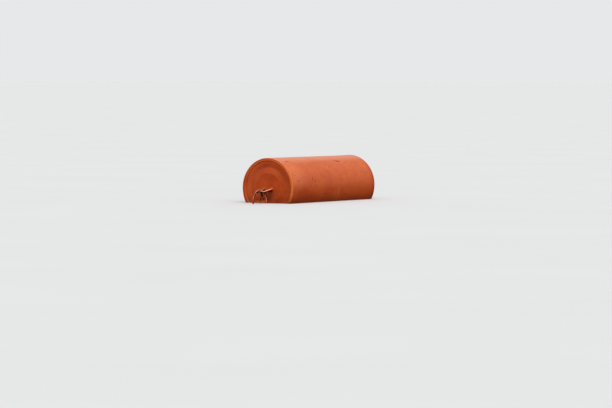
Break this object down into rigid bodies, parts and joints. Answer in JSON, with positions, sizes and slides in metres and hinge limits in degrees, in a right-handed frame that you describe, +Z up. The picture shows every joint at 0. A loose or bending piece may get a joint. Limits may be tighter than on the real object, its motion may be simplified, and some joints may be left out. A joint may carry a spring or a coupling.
{
  "type": "horizontal barrel mooring buoy",
  "caption": "Steel drum buoy that floats on its side, with a bent-bar hoop on each dished end, a ring swinging in each hoop, and a rope lashing with two cut tails.",
  "frame": {"origin": "on the water surface, below the drum's axis and half way along the hull", "axes": "+X along the hull from the front end to the rear end, +Z up"},
  "size_m": [2.0082, 0.6, 0.6],
  "materials": {
    "shell_paint": "sun-bleached orange-red marine paint on rolled steel, chalky, stained at the waterline",
    "end_paint": "the same paint on the dished ends, duller in the hollows",
    "rim_paint": "the same paint over the half-round edge ring",
    "hoop_paint": "the same paint on bent round bar, worn on the crown",
    "ring_paint": "thin worn paint over rusting steel",
    "plug_iron": "rusted iron plug under overpaint",
    "rope": "weathered black laid rope"
  },
  "bodies": {
    "hull": {"shell": "shell_paint", "front_end_plate": "end_paint", "rear_end_plate": "end_paint", "front_rim_ring": "rim_paint", "rear_rim_ring": "rim_paint", "front_hoop": "hoop_paint", "rear_hoop": "hoop_paint", "test_plug_boss": "end_paint", "test_plug": "plug_iron", "rope_lashing": "rope", "rope_knot": "rope", "lashing_tail_long": "rope", "lashing_tail_short": "rope"},
    "front_ring": {"front_mooring_ring": "ring_paint"},
    "rear_ring": {"rear_mooring_ring": "ring_paint"}
  },
  "joints": [
    {"name": "front_ring_swing", "type": "hinge", "parent": "hull", "child": "front_ring", "pos_m": [-0.87811, 0.001, 0.11372], "axis": [0, 1, 0], "range_deg": [-2, 180]},
    {"name": "rear_ring_swing", "type": "hinge", "parent": "hull", "child": "rear_ring", "pos_m": [0.87811, 0, 0.11372], "axis": [0, -1, 0], "range_deg": [-2, 180]}
  ]
}
